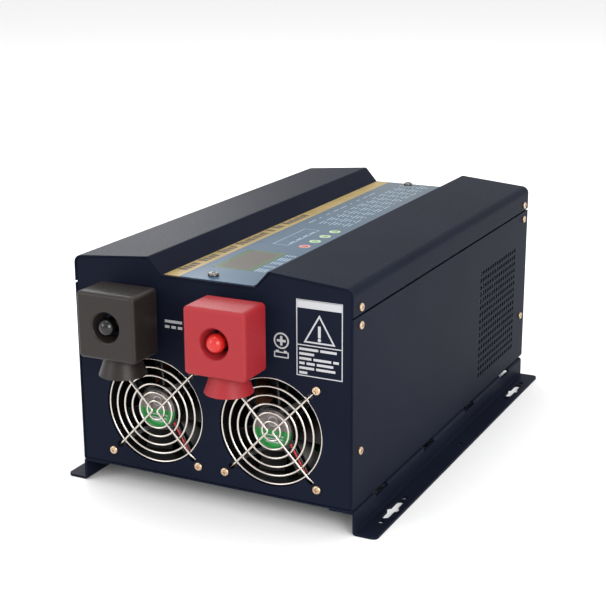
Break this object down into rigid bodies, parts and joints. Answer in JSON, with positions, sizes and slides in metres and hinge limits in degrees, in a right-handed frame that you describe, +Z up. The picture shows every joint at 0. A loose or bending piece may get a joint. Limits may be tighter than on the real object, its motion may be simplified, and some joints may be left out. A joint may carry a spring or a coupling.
{
  "type": "power inverter",
  "caption": "Pure-sine power inverter and charger: folded steel case on keyhole-slotted mounting rails, twin guarded fans, capped battery studs and a top display panel.",
  "frame": {"origin": "centre of the overall box, on the plane under the mounting flanges", "axes": "+Z up, +Y along the case from the battery (DC) end to the AC end, +X to the right seen from the battery end"},
  "size_m": [0.252, 0.442, 0.1784],
  "materials": {
    "case_coat": "dark textured powder coat on steel sheet",
    "overlay": "printed polycarbonate overlay",
    "window": "clear window",
    "display": "grey-green liquid crystal glass",
    "red_lens": "diffused red lens",
    "green_lens": "diffused green lens",
    "zinc_steel": "zinc plated",
    "rivet_alloy": "bright",
    "terminal_brass": "turned, tin plated",
    "bar_copper": "rolled copper bar",
    "black_rubber": "moulded",
    "red_rubber": "soft moulded vinyl",
    "red_nylon": "moulded nylon",
    "black_nylon": "moulded nylon",
    "black_plastic": "moulded, glass filled",
    "fan_plastic": "moulded PBT",
    "guard_nickel": "bright nickel-plated wire",
    "fan_label": "printed foil label",
    "red_lead": "PVC sleeve",
    "black_lead": "PVC sleeve",
    "board": "glass-epoxy circuit board",
    "sink_aluminium": "extruded",
    "chip_epoxy": "moulded epoxy",
    "can_sleeve": "shrink sleeve on aluminium can",
    "relay_case": "moulded case",
    "core_steel": "wound silicon-steel strip",
    "winding_tape": "copper wire wound and wrapped in amber tape",
    "plate_steel": "zinc plated pressed steel",
    "lead_sleeve": "silicone sleeve",
    "button_plastic": "moulded"
  },
  "bodies": {
    "chassis": {"lower_tray": "case_coat", "right_mounting_rail": "case_coat", "left_mounting_rail": "case_coat", "rail_rivets": "rivet_alloy", "top_cover": "case_coat", "dc_end_panel": "case_coat", "ac_end_panel": "case_coat", "case_screws": "zinc_steel", "cover_screws": "zinc_steel", "control_label": "overlay", "lcd_window": "window", "lcd_module": "display", "red_indicator": "red_lens", "green_indicators": "green_lens", "display_board": "board", "stud_insulators": "black_plastic", "negative_stud": "terminal_brass", "positive_stud": "terminal_brass", "stud_nuts": "zinc_steel", "negative_cap_nut": "black_nylon", "positive_cap_nut": "red_nylon", "dc_busbars": "bar_copper", "left_fan_frame": "fan_plastic", "left_fan_guard": "guard_nickel", "right_fan_frame": "fan_plastic", "right_fan_guard": "guard_nickel", "fan_labels": "fan_label", "fan_screws": "zinc_steel", "fan_leads_red": "red_lead", "fan_leads_black": "black_lead", "ac_terminal_block": "black_plastic", "terminal_block_screws": "zinc_steel", "ac_terminal_cover": "case_coat", "ac_cover_screws": "zinc_steel", "cable_grommets": "black_rubber", "breaker_bodies": "black_plastic", "power_switch_housing": "black_plastic", "selector_switch": "black_plastic", "remote_socket": "black_plastic", "transformer_winding": "winding_tape", "transformer_core": "core_steel", "transformer_pads": "black_rubber", "transformer_clamp_plate": "plate_steel", "transformer_bolt": "zinc_steel", "power_board": "board", "heatsinks": "sink_aluminium", "power_transistors": "chip_epoxy", "capacitors": "can_sleeve", "control_board": "board", "transfer_relays": "relay_case", "board_spacers": "rivet_alloy", "transformer_leads": "lead_sleeve"},
    "left_fan": {"left_fan_rotor": "fan_plastic"},
    "right_fan": {"right_fan_rotor": "fan_plastic"},
    "negative_cover": {"negative_boot": "black_rubber"},
    "positive_cover": {"positive_boot": "red_rubber"},
    "power_switch": {"power_switch_rocker": "black_nylon"},
    "input_breaker": {"input_breaker_button": "button_plastic"},
    "output_breaker": {"output_breaker_button": "button_plastic"},
    "battery_selector": {"battery_selector_knob": "black_plastic"}
  },
  "joints": [
    {"name": "left_fan_spin", "type": "hinge", "parent": "chassis", "child": "left_fan", "pos_m": [-0.0465, -0.166, 0.0648], "axis": [0, -1, 0], "continuous": true},
    {"name": "right_fan_spin", "type": "hinge", "parent": "chassis", "child": "right_fan", "pos_m": [0.0465, -0.166, 0.0648], "axis": [0, -1, 0], "continuous": true},
    {"name": "negative_boot_pull", "type": "slide", "parent": "chassis", "child": "negative_cover", "axis": [0, -1, 0], "range_m": [0, 0.06]},
    {"name": "positive_boot_pull", "type": "slide", "parent": "chassis", "child": "positive_cover", "axis": [0, -1, 0], "range_m": [0, 0.06]},
    {"name": "power_switch_rock", "type": "hinge", "parent": "chassis", "child": "power_switch", "pos_m": [0.074, 0.191, 0.134], "axis": [0, 0, 1], "range_deg": [-10, 10]},
    {"name": "input_breaker_trip", "type": "slide", "parent": "chassis", "child": "input_breaker", "axis": [0, 1, 0], "range_m": [0, 0.005]},
    {"name": "output_breaker_trip", "type": "slide", "parent": "chassis", "child": "output_breaker", "axis": [0, 1, 0], "range_m": [0, 0.005]},
    {"name": "battery_selector_turn", "type": "hinge", "parent": "chassis", "child": "battery_selector", "pos_m": [0.034, 0.191, 0.134], "axis": [0, -1, 0], "range_deg": [0, 324]}
  ]
}
